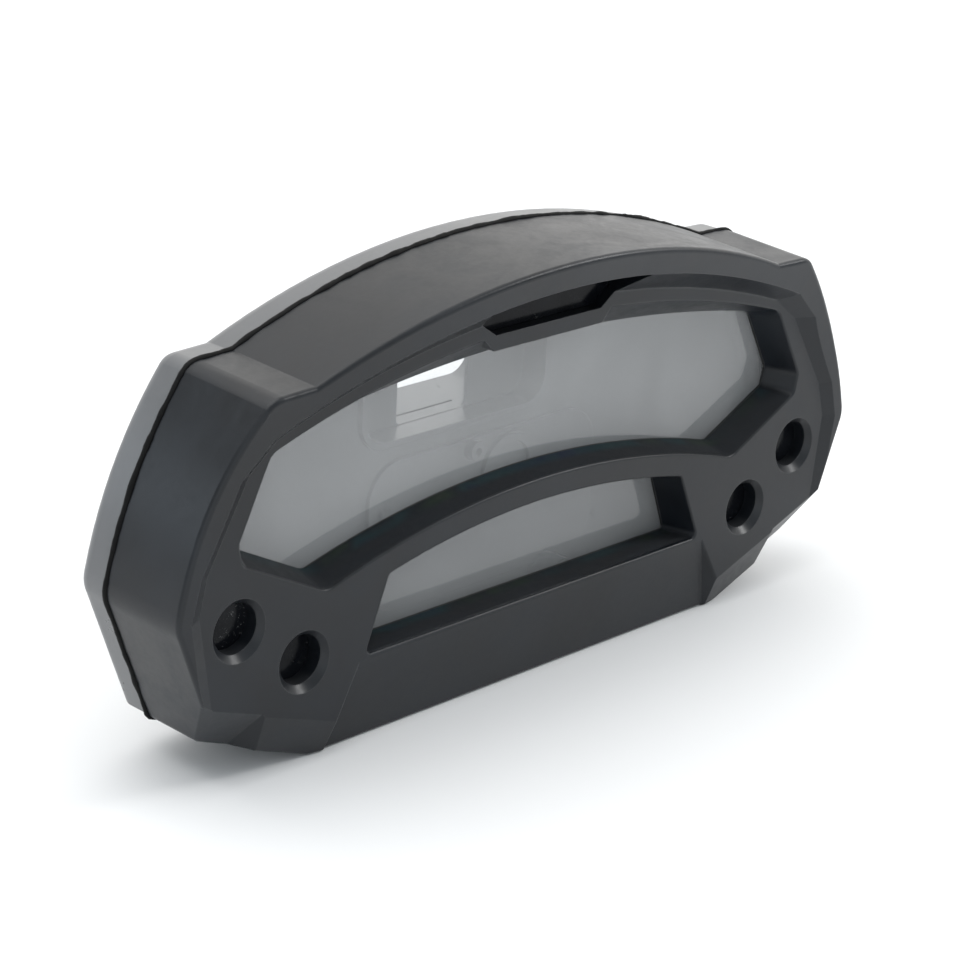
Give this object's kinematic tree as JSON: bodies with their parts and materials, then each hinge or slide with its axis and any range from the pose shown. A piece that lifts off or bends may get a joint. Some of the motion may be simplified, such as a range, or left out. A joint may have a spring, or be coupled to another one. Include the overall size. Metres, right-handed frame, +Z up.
{
  "type": "motorcycle dash housing",
  "caption": "Empty housing of a motorcycle instrument cluster: black bezel with clear windows, warning windows and shift-light slot on a sealed rear cover.",
  "frame": {"origin": "midpoint between the two upper M5 mounting holes, on the rear face of their bosses", "axes": "+X towards the rider's right, +Y away from the rider (out of the mounting bosses), +Z up"},
  "size_m": [0.198, 0.058, 0.0958],
  "materials": {
    "bezel_plastic": "satin",
    "window_clear": "clear",
    "seal_foam": "matte",
    "smoked_lens": "gloss",
    "cover_plastic": "matte",
    "seam_sealant": "semi-gloss",
    "screw_steel": "zinc plated",
    "insert_brass": "machined",
    "cushion_rubber": "matte",
    "membrane_fabric": "woven",
    "vent_plastic": "matte"
  },
  "bodies": {
    "root": {"front_bezel": "bezel_plastic", "main_lens": "window_clear", "window_seal": "seal_foam", "shift_light_lens": "smoked_lens", "warning_lens_left_outer": "smoked_lens", "warning_lens_left_inner": "smoked_lens", "warning_lens_right_outer": "smoked_lens", "warning_lens_right_inner": "smoked_lens", "rear_cover": "cover_plastic", "perimeter_seal": "seam_sealant", "cover_screw_1": "screw_steel", "cover_screw_2": "screw_steel", "cover_screw_3": "screw_steel", "cover_screw_4": "screw_steel", "cover_screw_5": "screw_steel", "cover_screw_6": "screw_steel", "cover_screw_7": "screw_steel", "cover_screw_8": "screw_steel", "mount_insert_left": "insert_brass", "mount_insert_right": "insert_brass", "mount_insert_lower": "insert_brass", "mount_cushion_left": "cushion_rubber", "mount_cushion_right": "cushion_rubber", "mount_cushion_lower": "cushion_rubber", "vent_membrane": "membrane_fabric", "vent_cap": "vent_plastic"}
  },
  "joints": []
}
